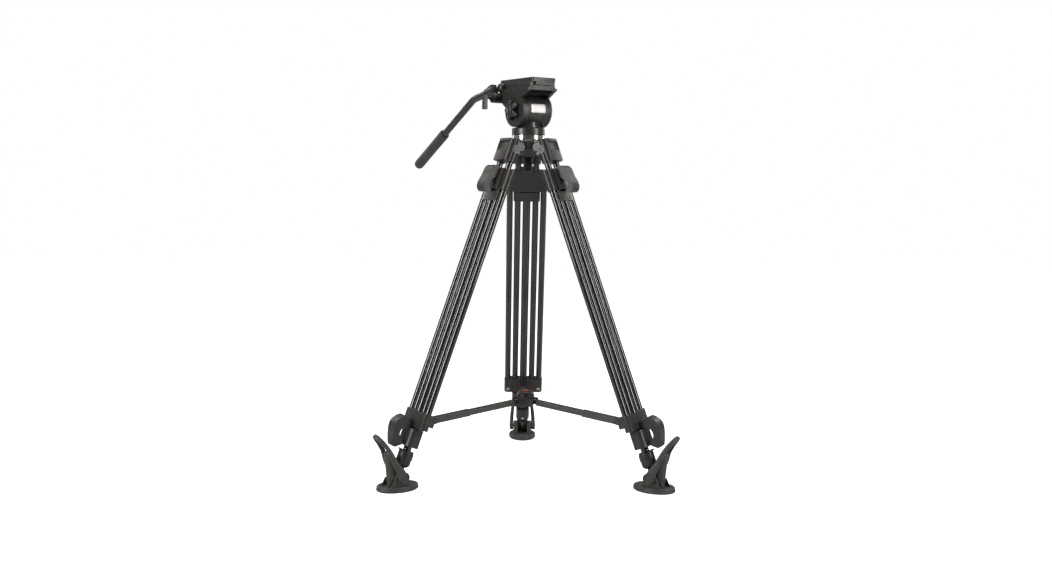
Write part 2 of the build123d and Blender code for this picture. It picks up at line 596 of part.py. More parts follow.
with BuildPart() as camera_plate:
    with BuildSketch(Plane.XY.offset(RECEIVER_HIGH + 0.3)):
        with Locations((0, (PLATE_FRONT + PLATE_BACK) / 2)):
            RectangleRounded(PLATE_WIDTH, PLATE_BACK - PLATE_FRONT, 5)
    extrude(amount=PLATE_HIGH - RECEIVER_HIGH - 0.3)
    fillet(camera_plate.edges().group_by(Axis.Z)[-1], 1.2)
    dovetail(CHANNEL_LOW + 0.3, RECEIVER_HIGH + 1, 26, 22, PLATE_FRONT + 1, PLATE_BACK - 4)
    upright_rod(0, 0, CHANNEL_LOW - 1, 72, 8.5, Mode.SUBTRACT)
    upright_rod(0, 0, CHANNEL_LOW - 1, 90, STUD_R + RUNNING_GAP, Mode.SUBTRACT)
place("camera_plate", camera_plate.part, HEAD_FRAME)

with BuildPart() as camera_screw:
    upright_rod(0, 0, 66, 71.7, 8)
    # a thinner neck keeps the screw in the plate
    upright_rod(0, 0, 71, PLATE_HIGH, STUD_R - 0.5)
    upright_rod(0, 0, PLATE_HIGH, STUD_TOP, STUD_R)
    chamfer(camera_screw.edges().sort_by(Axis.Z)[-1], 0.5)
    block(-9, 9, -0.8, 0.8, 65, 68, Mode.SUBTRACT)
place("camera_screw", camera_screw.part, HEAD_FRAME)

with BuildPart() as plate_knob:
    long_rod(KNOB_Y, KNOB_Z, -51, -RECEIVER_HALF - 0.3, 12.5)
    fillet(plate_knob.edges().sort_by(Axis.X)[0], 6)
    long_rod(KNOB_Y, KNOB_Z, -RECEIVER_HALF - 1, -29, 3)
place("plate_knob", plate_knob.part, HEAD_FRAME)

# ---------------------------------------------------------------- pan handle

bar_axis = Vector(0, BAR_BEND[0] - BAR_START[0], BAR_BEND[1] - BAR_START[1]).normalized()
grip_axis = Vector(0, BAR_END[0] - BAR_BEND[0], BAR_END[1] - BAR_BEND[1]).normalized()
SOCKET = Plane(origin=(BAR_X, *BAR_START), x_dir=(1, 0, 0), z_dir=bar_axis)

with BuildPart() as handle_mount:
    long_rod(ROSETTE_Y, ROSETTE_Z, -69, -CHEEK_OUTER - 2.3, ROSETTE_R)
    with BuildSketch(Plane.YZ.offset(-61.5)):
        with BuildLine():
            Polyline((61, 20.5), (78, 28), (104, 40), (108, 54), (90, 63), (78, 67), (74, 58), (71, 48),
                     (61, 43.5), close=True)
        make_face()
    extrude(amount=16)
    with BuildSketch(SOCKET):
        Circle(12.2)
    extrude(amount=34)
    with BuildSketch(SOCKET):
        Circle(BAR_R + GLUE_GAP)
    extrude(amount=60, mode=Mode.SUBTRACT)
    long_rod(ROSETTE_Y, ROSETTE_Z, -70, -40, 3.5 + RUNNING_GAP, Mode.SUBTRACT)
place("handle_mount", handle_mount.part, HEAD_FRAME)

with BuildPart() as clamp_lever:
    long_rod(ROSETTE_Y, ROSETTE_Z, -92, -36, 3.5)
    long_rod(ROSETTE_Y, ROSETTE_Z, -74, -69.3, 6.5)
    block(-95.5, -86.5, ROSETTE_Y - 7, ROSETTE_Y + 7, ROSETTE_Z - 29, ROSETTE_Z + 5)
    fillet(clamp_lever.edges().filter_by(Axis.Z).sort_by(Axis.X)[:2], 3)
place("clamp_lever", clamp_lever.part, HEAD_FRAME)

with BuildPart() as pan_bar:
    with BuildLine(Plane.YZ.offset(BAR_X)) as path:
        FilletPolyline(BAR_START, BAR_BEND, BAR_END, radius=60)
    with BuildSketch(SOCKET):
        Circle(BAR_R)
        Circle(BAR_R - 1.5, mode=Mode.SUBTRACT)
    sweep(path=path.wires()[0])
place("pan_bar", pan_bar.part, HEAD_FRAME)

grip_start = Vector(BAR_X, *BAR_END) + grip_axis * (GRIP_OVERHANG - GRIP_LENGTH)
GRIP = Plane(origin=grip_start, x_dir=(1, 0, 0), z_dir=grip_axis)

with BuildPart() as handle_grip:
    upright_rod(0, 0, 0, GRIP_LENGTH, GRIP_R)
    fillet(handle_grip.edges().sort_by(Axis.Z)[-1], 9)
    chamfer(handle_grip.edges().sort_by(Axis.Z)[0], 1)
    upright_rod(0, 0, -1, GRIP_LENGTH - GRIP_OVERHANG + 0.1, BAR_R + GLUE_GAP, Mode.SUBTRACT)
placed["handle_grip"] = handle_grip.part.moved(HEAD_FRAME.location * GRIP.location)

# ---------------------------------------------------------------- export, footprint centred on the origin

boxes = [piece.bounding_box() for piece in placed.values()]
CENTRE_Y = (min(box.min.Y for box in boxes) + max(box.max.Y for box in boxes)) / 2
CENTRE_X = (min(box.min.X for box in boxes) + max(box.max.X for box in boxes)) / 2

for name, piece in placed.items():
    piece = piece.moved(Location((-CENTRE_X, -CENTRE_Y, 0)))
    piece.label = name
    export_step(piece, f"parts/{name}.step")
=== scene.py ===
"""Video tripod with a fluid head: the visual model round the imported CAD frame."""

import json
from math import asin, cos, degrees, pi, radians, sin, sqrt, tan

import bmesh
import bpy
from mathutils import Matrix, Vector


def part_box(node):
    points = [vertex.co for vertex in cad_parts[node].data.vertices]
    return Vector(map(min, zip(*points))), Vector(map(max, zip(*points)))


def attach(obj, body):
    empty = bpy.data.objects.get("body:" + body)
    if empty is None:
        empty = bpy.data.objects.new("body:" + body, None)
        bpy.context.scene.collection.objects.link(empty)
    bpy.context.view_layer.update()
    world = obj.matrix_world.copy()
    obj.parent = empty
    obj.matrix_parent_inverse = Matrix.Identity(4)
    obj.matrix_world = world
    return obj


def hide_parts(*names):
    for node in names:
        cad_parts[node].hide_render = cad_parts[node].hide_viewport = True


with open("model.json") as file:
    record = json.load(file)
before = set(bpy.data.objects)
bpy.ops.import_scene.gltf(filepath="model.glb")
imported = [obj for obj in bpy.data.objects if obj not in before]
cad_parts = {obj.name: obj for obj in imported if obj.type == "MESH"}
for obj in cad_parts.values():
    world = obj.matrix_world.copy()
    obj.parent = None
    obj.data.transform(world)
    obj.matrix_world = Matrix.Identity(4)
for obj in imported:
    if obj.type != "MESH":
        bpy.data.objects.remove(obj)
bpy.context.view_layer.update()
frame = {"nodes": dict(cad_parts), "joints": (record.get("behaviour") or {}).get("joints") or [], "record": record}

MM = 0.001
LEGS = ("rear", "left", "right")
JOINTS = {joint["name"]: joint for joint in frame["joints"]}
BODY_OF = {node: body for body, nodes in frame["record"]["behaviour"]["bodies"].items() for node in nodes}

scene = bpy.context.scene
scene.view_settings.view_transform = "Standard"


# ---------------------------------------------------------------- frames

def basis(x, y, z, origin):
    """A frame in millimetres from three directions and an origin in metres."""
    turn = Matrix((x, y, z)).transposed().to_4x4()
    return Matrix.Translation(origin) @ turn @ Matrix.Scale(MM, 4)


def leg_frame(leg):
    """X outward, Y tangential, Z up along the leg, origin on the fold hinge."""
    up = -Vector(JOINTS[f"extend_{leg}"]["axis"])
    side = -Vector(JOINTS[f"fold_{leg}"]["axis"])
    return basis(side.cross(up), side, up, Vector(JOINTS[f"fold_{leg}"]["pos_m"]))


def foot_frame(leg):
    """Upright, X outward, Y tangential, origin on the swivel pin."""
    side = -Vector(JOINTS[f"fold_{leg}"]["axis"])
    up = Vector((0, 0, 1))
    return basis(side.cross(up), side, up, Vector(JOINTS[f"foot_swivel_{leg}"]["pos_m"]))


def arm_frame(leg):
    """X from the bracket pin to the hub, Z upward, origin on the bracket pin."""
    along = Vector(JOINTS[f"arm_slide_{leg}"]["axis"])
    side = Vector(JOINTS[f"fold_{leg}"]["axis"])
    return basis(along, side, along.cross(side), Vector(JOINTS[f"arm_pivot_{leg}"]["pos_m"]))


def head_frame():
    """X along the tilt axis, Y to the back, Z up, origin at the drum's middle."""
    along = Vector(JOINTS["tilt"]["axis"])
    up = Vector((0, 0, 1))
    return basis(along, up.cross(along), up, Vector(JOINTS["tilt"]["pos_m"]))


LEG = {leg: leg_frame(leg) for leg in LEGS}
FOOT = {leg: foot_frame(leg) for leg in LEGS}
ARM = {leg: arm_frame(leg) for leg in LEGS}
HEAD = head_frame()
low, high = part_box("pan_base")
AXIS = (low + high) / 2
COLUMN = Matrix.Translation((AXIS.x, AXIS.y, 0)) @ Matrix.Scale(MM, 4)

# Leg tubes, in millimetres: radii, and the pairs' offsets from the leg's middle.
TUBE_R = 8
CENTRE_TUBE_R = 10
INNER_TUBE_Y = 23.25
OUTER_TUBE_Y = 44

# Upper cam lever, in the leg's frame: its pin, and the cylinder that it sweeps.
UPPER_LEVER_PIN = (28, 0, -66)
SWING_R = 16.4
SWING_HALF = 19.8

# Pan bar, in the head's frame: its socket, the corner of its bend and its far end.
BAR_START = Vector((-53, 75, 53))
BAR_CORNER = Vector((-53, 173, 35))
BAR_END = Vector((-53, 459, -129.5))
BAR_R = 9
BAR_BEND_R = 60
BAR_SIDES = 40


# ---------------------------------------------------------------- materials

class Nodes:
    """A short way to write a material's node tree."""

    def __init__(self, name):
        self.material = bpy.data.materials.new(name)
        self.material.use_nodes = True
        self.tree = self.material.node_tree
        self.shader = self.tree.nodes["Principled BSDF"]

    def add(self, kind, inputs=None, **settings):
        node = self.tree.nodes.new(kind)
        for key, value in settings.items():
            setattr(node, key, value)
        for key, value in (inputs or {}).items():
            self.put(node.inputs[key], value)
        return node

    def put(self, socket, value):
        if isinstance(value, bpy.types.NodeSocket):
            self.tree.links.new(value, socket)
        else:
            socket.default_value = value

    def math(self, operation, a, b=0.0):
        return self.add("ShaderNodeMath", {0: a, 1: b}, operation=operation).outputs[0]

    def ramp(self, value, stops):
        node = self.add("ShaderNodeValToRGB", {"Fac": value})
        while len(node.color_ramp.elements) < len(stops):
            node.color_ramp.elements.new(0.5)
        for element, (position, colour) in zip(node.color_ramp.elements, stops):
            element.position = position
            element.color = (*colour, 1) if len(colour) == 3 else (colour[0],) * 3 + (1,)
        return node.outputs["Color"]

    def noise(self, coordinate, scale, detail=3.0, rough=0.55):
        return self.add("ShaderNodeTexNoise", {"Vector": coordinate, "Scale": scale, "Detail": detail,
                                               "Roughness": rough}).outputs["Fac"]

    def place(self, kind="Object"):
        return self.add("ShaderNodeTexCoord").outputs[kind]

    def bump(self, height, strength, distance):
        inputs = {"Height": height, "Strength": strength, "Distance": distance}
        self.put(self.shader.inputs["Normal"], self.add("ShaderNodeBump", inputs).outputs["Normal"])

    def edges(self, radius):
        """0 on flat faces, towards 1 on edges that hands and cases rub."""
        soft = self.add("ShaderNodeBevel", {"Radius": radius}, samples=4).outputs["Normal"]
        flat = self.add("ShaderNodeNewGeometry").outputs["Normal"]
        dot = self.add("ShaderNodeVectorMath", {0: soft, 1: flat}, operation="DOT_PRODUCT").outputs["Value"]
        return self.math("MULTIPLY", self.math("SUBTRACT", 1.0, dot), 6.0)


def surface(name, dark, light, rough, grain, grain_depth, wear=None, metallic=0.0, specular=0.5, coat=0.0,
            sheen=0.0):
    """Paint, plastic or rubber: two tones, a fine grain and optional rubbed edges."""
    n = Nodes(name)
    where = n.place()
    cloud = n.noise(where, 38.0, 4.0)
    tone = n.ramp(cloud, [(0.3, dark), (0.7, light)])
    if wear:
        fine = n.noise(where, 420.0, 2.0)
        rubbed = n.math("MULTIPLY", n.edges(0.0011), n.ramp(fine, [(0.4, (0,)), (0.65, (1,))]))
        mix = n.add("ShaderNodeMix", {"Factor": rubbed, 6: tone, 7: (*wear, 1)}, data_type="RGBA")
        mix.clamp_factor = True
        tone = mix.outputs[2]
    n.put(n.shader.inputs["Base Color"], tone)
    spots = n.noise(where, 260.0, 3.0)
    n.put(n.shader.inputs["Roughness"], n.add("ShaderNodeMapRange", {
        "Value": spots, "From Min": 0.3, "From Max": 0.7, "To Min": rough - 0.06,
        "To Max": rough + 0.07}).outputs["Result"])
    n.shader.inputs["Metallic"].default_value = metallic
    n.shader.inputs["Specular IOR Level"].default_value = specular
    n.shader.inputs["Coat Weight"].default_value = coat
    n.shader.inputs["Coat Roughness"].default_value = 0.12
    n.shader.inputs["Sheen Weight"].default_value = sheen
    n.bump(n.noise(where, grain, 3.0, 0.6), 0.35, grain_depth)
    return n.material


def carbon(name, cell):
    """Glossy lacquer over a two-by-two twill, laid diagonally along the tube."""
    n = Nodes(name)
    split = n.add("ShaderNodeSeparateXYZ", {"Vector": n.place("UV")})
    u, v = split.outputs[0], split.outputs[1]
    diagonal = 1 / (sqrt(2) * cell)
    a = n.math("MULTIPLY", n.math("ADD", u, v), diagonal)
    b = n.math("MULTIPLY", n.math("SUBTRACT", u, v), diagonal)
    steps = n.math("ADD", n.math("FLOOR", a), n.math("FLOOR", b))
    over = n.math("LESS_THAN", n.math("FRACT", n.math("MULTIPLY", steps, 0.25)), 0.5)
    fibre = n.noise(n.place("UV"), 2600.0, 2.0)
    crown_a = n.math("SINE", n.math("MULTIPLY", n.math("FRACT", a), pi))
    crown_b = n.math("SINE", n.math("MULTIPLY", n.math("FRACT", b), pi))
    crown = n.add("ShaderNodeMix", {"Factor": over, 2: crown_b, 3: crown_a}).outputs[0]
    shade = n.add("ShaderNodeMix", {"Factor": over, 6: (0.0025, 0.0025, 0.0025, 1),
                                    7: (0.013, 0.0127, 0.0122, 1)}, data_type="RGBA").outputs[2]
    n.put(n.shader.inputs["Base Color"], shade)
    n.put(n.shader.inputs["Roughness"], n.math("ADD", n.math("MULTIPLY", over, 0.12), 0.3))
    n.shader.inputs["Specular IOR Level"].default_value = 0.15
    n.shader.inputs["Coat Weight"].default_value = 1.0
    n.shader.inputs["Coat Roughness"].default_value = 0.03
    n.shader.inputs["Coat IOR"].default_value = 1.62
    n.bump(n.math("ADD", crown, n.math("MULTIPLY", fibre, 0.3)), 0.25, 0.00006)
    return n.material


def turned(name, colour, rough, pitch):
    """Bright metal with fine rings from the lathe."""
    n = Nodes(name)
    where = n.place()
    split = n.add("ShaderNodeSeparateXYZ", {"Vector": where})
    rings = n.math("SINE", n.math("MULTIPLY", split.outputs["Z"], 2 * pi / pitch))
    cloud = n.noise(where, 90.0)
    shade = tuple(c * 0.86 for c in colour)
    n.put(n.shader.inputs["Base Color"], n.ramp(cloud, [(0.3, shade), (0.7, colour)]))
    n.put(n.shader.inputs["Roughness"], n.math("ADD", n.math("MULTIPLY", cloud, 0.14), rough - 0.07))
    n.shader.inputs["Metallic"].default_value = 1.0
    n.bump(rings, 0.25, 0.00003)
    return n.material


CASTING = surface("casting_paint", (0.017, 0.016, 0.0148), (0.025, 0.0235, 0.0215), 0.36, 2300.0, 0.0001,
                  wear=(0.08, 0.077, 0.072), specular=0.4)
HEAD_PAINT = surface("head_paint", (0.015, 0.014, 0.0128), (0.022, 0.0207, 0.019), 0.33, 2600.0, 0.00008,
                     wear=(0.09, 0.086, 0.08), specular=0.55)
LEVER = surface("lever_plastic", (0.015, 0.0142, 0.0132), (0.022, 0.0207, 0.019), 0.42, 1500.0, 0.0001,
                wear=(0.055, 0.052, 0.048), specular=0.35)
KNOB = surface("knob_plastic", (0.012, 0.0115, 0.0108), (0.019, 0.018, 0.017), 0.36, 1800.0, 0.00004,
               wear=(0.06, 0.057, 0.054))
RUBBER = surface("foot_rubber", (0.024, 0.0225, 0.021), (0.036, 0.034, 0.0315), 0.52, 900.0, 0.00018,
                 wear=(0.06, 0.057, 0.053), specular=0.4, sheen=0.1)
SPREADER = surface("spreader_paint", (0.026, 0.0245, 0.0225), (0.038, 0.036, 0.0335), 0.36, 1700.0, 0.00008,
                   wear=(0.1, 0.096, 0.09))
FOAM = surface("grip_foam", (0.02, 0.0195, 0.0185), (0.032, 0.031, 0.0295), 0.8, 1400.0, 0.0005,
               specular=0.3, sheen=0.2)
CARBON = carbon("carbon_twill", 0.0015)
SILVER = turned("bright_aluminium", (0.92, 0.92, 0.91), 0.16, 0.0006)
STEEL = turned("bright_steel", (0.75, 0.74, 0.72), 0.25, 0.0004)
MARK = surface("hub_mark", (0.62, 0.07, 0.02), (0.72, 0.1, 0.03), 0.35, 900.0, 0.0001, coat=0.4)
BLACK_STEEL = turned("blackened_steel", (0.07, 0.066, 0.062), 0.34, 0.0004)
BADGE = surface("blank_badge", (0.58, 0.575, 0.56), (0.7, 0.69, 0.67), 0.38, 1200.0, 0.00005, metallic=0.3)


# ---------------------------------------------------------------- pieces

def piece(name, mesh, material, body, replaced=(), bevel=0.0, segments=2, subdivide=0, crease=32.0):
    """Links a mesh as a piece that rides on a body and stands for some CAD nodes."""
    obj = bpy.data.objects.new(name, mesh)
    scene.collection.objects.link(obj)
    mesh.materials.append(material)
    for polygon in mesh.polygons:
        polygon.use_smooth = True
    mesh.set_sharp_from_angle(angle=radians(crease))
    if bevel:
        rounding = obj.modifiers.new("rounded_edges", "BEVEL")
        rounding.width = bevel * MM
        rounding.segments = segments
        rounding.limit_method = "ANGLE"
        rounding.angle_limit = radians(28)
        rounding.harden_normals = True
    if subdivide:
        smooth = obj.modifiers.new("smooth_surface", "SUBSURF")
        smooth.levels = smooth.render_levels = subdivide
    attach(obj, body)
    if replaced:
        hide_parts(*replaced)
    return obj


def carve(mesh, cutters):
    """The mesh less the cutters, as a new mesh."""
    whole = bpy.data.objects.new("whole", mesh)
    scene.collection.objects.link(whole)
    tools = []
    for cutter in cutters:
        tool = bpy.data.objects.new("tool", cutter)
        scene.collection.objects.link(tool)
        cut = whole.modifiers.new("cut", "BOOLEAN")
        cut.operation = "DIFFERENCE"
        cut.solver = "EXACT"
        cut.object = tool
        tools.append(tool)
    result = bpy.data.meshes.new_from_object(whole.evaluated_get(bpy.context.evaluated_depsgraph_get()))
    for obj in tools + [whole]:
        bpy.data.objects.remove(obj)
    for used in [mesh] + cutters:
        bpy.data.meshes.remove(used)
    return result


def refine(node, material, bevel=0.5, segments=2, cutters=()):
    """A copy of a CAD node with welded faces and rounded edges, shown in its place."""
    mesh = bpy.data.meshes.new(f"{node}_skin")
    bm = bmesh.new()
    bm.from_mesh(frame["nodes"][node].data)
    bmesh.ops.remove_doubles(bm, verts=bm.verts, dist=0.00001)
    bmesh.ops.dissolve_limit(bm, angle_limit=radians(0.6), verts=bm.verts, edges=bm.edges,
                             delimit={"NORMAL"})
    bm.to_mesh(mesh)
    bm.free()
    if "custom_normal" in mesh.attributes:
        mesh.attributes.remove(mesh.attributes["custom_normal"])
    if cutters:
        mesh = carve(mesh, list(cutters))
        mesh.name = f"{node}_skin"
    mesh.materials.clear()
    return piece(f"{node}_skin", mesh, material, BODY_OF[node], (node,), bevel, segments)


def lathe(profile, place, segments=48):
    """Turns an outline of (radius, height) points round Z, with metric UVs."""
    bm = bmesh.new()
    layer = bm.loops.layers.uv.new("UVMap")
    rings = []
    for radius, height in profile:
        if radius < 1e-6:
            rings.append([bm.verts.new((0, 0, height))])
        else:
            turns = [2 * pi * i / segments for i in range(segments)]
            rings.append([bm.verts.new((radius * cos(a), radius * sin(a), height)) for a in turns])
    reach = [0.0]
    for (r0, z0), (r1, z1) in zip(profile, profile[1:]):
        reach.append(reach[-1] + sqrt((r1 - r0) ** 2 + (z1 - z0) ** 2))
    widest = max(radius for radius, height in profile)
    for k in range(len(rings) - 1):
        a, b = rings[k], rings[k + 1]
        for i in range(segments):
            j = (i + 1) % segments
            corners = []
            for ring, row in ((a, k), (b, k + 1)):
                pair = ((i, ring[i % len(ring)]), (i + 1, ring[j % len(ring)]))
                corners.append([(vert, step, row) for step, vert in pair])
            order = [corners[0][0], corners[0][1], corners[1][1], corners[1][0]]
            seen = []
            for corner in order:
                if corner[0] not in [s[0] for s in seen]:
                    seen.append(corner)
            if len(seen) < 3:
                continue
            face = bm.faces.new([corner[0] for corner in seen])
            for loop, (vert, step, row) in zip(face.loops, seen):
                loop[layer].uv = (2 * pi * widest * MM * step / segments, reach[row] * MM)
    bm.transform(place)
    bmesh.ops.recalc_face_normals(bm, faces=bm.faces)
    mesh = bpy.data.meshes.new("lathe")
    bm.to_mesh(mesh)
    bm.free()
    return mesh


def join(meshes):
    """One mesh out of several."""
    bm = bmesh.new()
    for mesh in meshes:
        bm.from_mesh(mesh)
        bpy.data.meshes.remove(mesh)
    whole = bpy.data.meshes.new("joined")
    bm.to_mesh(whole)
    bm.free()
    return whole


def tube(place, y, top, bottom, radius, wall=1.4):
    """An open tube along Z, at a tangential offset, between two stations."""
    edge = 0.3
    inner, rim = radius - wall, radius - edge
    profile = [(inner, -bottom), (rim, -bottom), (radius, -bottom + edge), (radius, -top - edge), (rim, -top),
               (inner, -top), (inner, -top - 30)]
    return lathe(profile, place @ Matrix.Translation((0, y, 0)))


def tube_pair(place, y, top, bottom):
    """Two tubes side by side, y to either side of the leg's middle."""
    return join([tube(place, side * y, top, bottom, TUBE_R) for side in (-1, 1)])


for leg in LEGS:
    piece(f"inner_pair_{leg}", tube_pair(LEG[leg], INNER_TUBE_Y, 10, 678), CARBON, f"leg_{leg}",
          [f"inner_tubes_{leg}"])
    piece(f"outer_pair_{leg}", tube_pair(LEG[leg], OUTER_TUBE_Y, 59, 712), CARBON, f"stage2_{leg}",
          [f"outer_tubes_{leg}"])


def prism(outline, low, high, place):
    """A closed outline of (x, y) points, raised from low to high along Z."""
    bm = bmesh.new()
    layer = bm.loops.layers.uv.new("UVMap")
    count = len(outline)
    bottom = [bm.verts.new((x, y, low)) for x, y in outline]
    top = [bm.verts.new((x, y, high)) for x, y in outline]
    bm.faces.new(bottom[::-1])
    bm.faces.new(top)
    for i in range(count):
        j = (i + 1) % count
        bm.faces.new((bottom[i], bottom[j], top[j], top[i]))
    for face in bm.faces:
        for loop in face.loops:
            loop[layer].uv = (loop.vert.co.x * MM, (loop.vert.co.y + loop.vert.co.z) * MM)
    bm.transform(place)
    bmesh.ops.recalc_face_normals(bm, faces=bm.faces)
    mesh = bpy.data.meshes.new("prism")
    bm.to_mesh(mesh)
    bm.free()
    return mesh


def arc(cx, cy, radius, start, end, steps):
    """Points along an arc, angles in degrees."""
    return [(cx + radius * cos(radians(start + (end - start) * i / steps)),
             cy + radius * sin(radians(start + (end - start) * i / steps))) for i in range(steps + 1)]


def rounded_rectangle(width, height, radius, steps=6):
    points = []
    for cx, cy, start in ((1, 1, 0), (-1, 1, 90), (-1, -1, 180), (1, -1, 270)):
        points += arc(cx * (width / 2 - radius), cy * (height / 2 - radius), radius, start, start + 90, steps)
    return points


def sweep(stations, place):
    """Skins sections: each station is (centre, across, through, width, thickness), as a rounded bar."""
    section = rounded_rectangle(1.0, 1.0, 0.32, 3)
    bm = bmesh.new()
    rings = []
    for centre, across, through, width, thickness in stations:
        rings.append([bm.verts.new(centre + across * (x * width) + through * (y * thickness))
                      for x, y in section])
    count = len(section)
    for first, second in zip(rings, rings[1:]):
        for i in range(count):
            j = (i + 1) % count
            bm.faces.new((first[i], first[j], second[j], second[i]))
    bm.faces.new(rings[0][::-1])
    bm.faces.new(rings[-1])
    bm.transform(place)
    bmesh.ops.recalc_face_normals(bm, faces=bm.faces)
    mesh = bpy.data.meshes.new("sweep")
    bm.to_mesh(mesh)
    bm.free()
    return mesh


def smooth_path(points, steps):
    """Catmull-Rom points through rows of numbers."""
    rows = [points[0]] + list(points) + [points[-1]]
    result = []
    for k in range(1, len(rows) - 2):
        for step in range(steps):
            t = step / steps
            row = []
            for p0, p1, p2, p3 in zip(rows[k - 1], rows[k], rows[k + 1], rows[k + 2]):
                row.append(0.5 * (2 * p1 + (p2 - p0) * t + (2 * p0 - 5 * p1 + 4 * p2 - p3) * t * t
                                  + (3 * p1 - p0 - 3 * p2 + p3) * t ** 3))
            result.append(row)
    result.append(list(rows[-2]))
    return result


ALONG_Y = Matrix.Rotation(radians(-90), 4, "X")


def at(x, y, z):
    return Matrix.Translation((x, y, z))


def cap_screw(place, radius, height):
    """A socket-head screw standing on the face at Z = 0."""
    return lathe([(0, height * 0.35), (radius * 0.5, height * 0.35), (radius * 0.55, height),
                  (radius * 0.86, height), (radius, height * 0.8), (radius, -0.4)], place, 12)


# ---------------------------------------------------------------- feet

def make_foot(leg):
    """The rubber pad, its yoke with the swivel pins, and the half-round post behind the spike."""
    place = FOOT[leg]
    floor = -Vector(JOINTS[f"foot_swivel_{leg}"]["pos_m"]).z / MM
    outline = [(0, 2.5), (0.86, 2.5), (0.9, 0), (0.95, 0.4), (0.992, 2.2), (1.0, 5), (0.985, 6.6),
               (0.975, 7.2), (0.985, 7.8), (0.985, 10), (0.955, 12), (0.9, 12.5), (0.84, 12.1), (0.8, 10.8),
               (0.74, 10.6), (0, 11.2)]
    pad = lathe(outline, place @ at(3.2, 0, floor) @ Matrix.Diagonal((53, 38.5, 1, 1)), 72)
    parts = [pad]
    top = floor + 10.6
    for side in (-1, 1):
        plate = [(-19, top), (33, top), (25, top + 6), (14, 3)] + arc(0, 0, 13, 15, 170, 14) + [(-14, -2)]
        inner, outer = sorted((side * 14, side * 25))
        flat = Matrix(((1, 0, 0, 0), (0, 0, 1, 0), (0, 1, 0, 0), (0, 0, 0, 1)))
        parts.append(prism(plate, inner, outer, place @ flat))
        pin = [(0, 37.3), (3.6, 37.3), (4.6, 36.6), (5, 35.8), (5, 14)]
        parts.append(lathe(pin, place @ Matrix.Rotation(radians(-90 * side), 4, "X"), 24))
        inner, outer = sorted((side * 13, side * 16))
        gusset = [(20, top), (42, top), (36, top + 4), (29, top + 19), (20, top + 19)]
        parts.append(prism(gusset, inner, outer, place @ flat))
    lean = at(12.2, 0, top - 1) @ Matrix.Rotation(radians(5.8), 4, "Y")
    shell = arc(0, 0, 16, -83, 83, 22) + arc(0, 0, 12.6, 80, -80, 22)
    parts.append(prism(shell, 0, 79, place @ lean))
    rim = arc(0, 0, 16.8, -84, 84, 22) + arc(0, 0, 12.2, 80, -80, 22)
    parts.append(prism(rim, 79, 83.5, place @ lean))
    parts.append(prism(rim, -1, 3, place @ lean))
    piece(f"foot_rubber_{leg}", join(parts), RUBBER, f"foot_{leg}", [f"foot_{leg}"], bevel=0.7)


# Half of the loop, from the pivot to the middle: x, y, z of its centre, width and thickness.
STRAP_LINE = [(2, 31, 2, 23, 10.6), (9.5, 31, 16, 20, 10.6), (20, 29.5, 34, 15, 10), (29, 26.5, 56, 11, 8.5),
              (40.5, 23, 75.5, 10.5, 7.6), (51.5, 18, 90, 10.5, 7.6), (58, 7, 98.5, 10.5, 8.5)]


def make_strap(leg):
    """The rubber loop between the two pivot discs."""
    place = FOOT[leg]
    rows = smooth_path(STRAP_LINE, 5)
    rows += [[row[0], -row[1]] + row[2:] for row in reversed(rows)]
    stations = []
    for k, row in enumerate(rows):
        before, after = rows[max(k - 1, 0)], rows[min(k + 1, len(rows) - 1)]
        tangent = Vector([after[i] - before[i] for i in range(3)]).normalized()
        side = 1 if k < len(rows) / 2 else -1
        rise = Vector((after[0] - before[0], 0, after[2] - before[2])) * side
        if rise.length < 1.5:
            rise = Vector((0.65, 0, 0.76))
        across = Vector((-rise.z, 0, rise.x)).normalized()
        through = tangent.cross(across).normalized()
        stations.append((Vector(row[:3]), across, through, row[3], row[4]))
    parts = [sweep(stations, place)]
    for side in (-1, 1):
        disc = [(5.4, 36.2), (7.4, 36.4), (8.2, 35.6), (9.4, 35.6), (10.4, 36.5), (12.2, 36.5), (13, 35.7),
                (13, 26.3), (12.4, 25.7), (5.4, 25.7), (5.4, 36.2)]
        parts.append(lathe(disc, place @ Matrix.Rotation(radians(-90 * side), 4, "X"), 40))
    piece(f"strap_loop_{leg}", join(parts), RUBBER, f"strap_{leg}", [f"strap_{leg}"])


def make_tip(leg):
    """The tip casting, its steel spike and its set screw."""
    place = LEG[leg]
    tip = lathe([(10.2, -778), (17, -778), (18.2, -778.6), (18.5, -780), (18.5, -809), (17.6, -812.5),
                 (14.5, -816), (11.5, -818), (8, -819), (8, -822.4), (9, -822.8), (9, -824.4), (8, -824.8),
                 (8, -825.6), (9, -826), (9, -826.8), (6, -827.6), (5.9, -830)], place, 48)
    parts = [tip]
    parts.append(prism(rounded_rectangle(8, 24, 2), -779.5, -776.5, place @ at(16, 0, 0)))
    for side in (-1, 1):
        parts.append(prism(rounded_rectangle(5, 3, 0.8), -800, -784, place @ at(-17.2, side * 4, 0)))
    piece(f"tip_casting_{leg}", join(parts), CASTING, f"stage3_{leg}", [f"leg_tip_{leg}"], bevel=0.4)
    spike = lathe([(0, -829), (6, -829), (6, -836.5), (5.2, -837.5), (0.7, -851.6), (0, -852)], place, 32)
    screw = cap_screw(place @ at(-18.2, 0, -803) @ Matrix.Rotation(radians(-90), 4, "Y"), 3.4, 1.8)
    piece(f"spike_{leg}", join([spike, screw]), STEEL, f"stage3_{leg}")


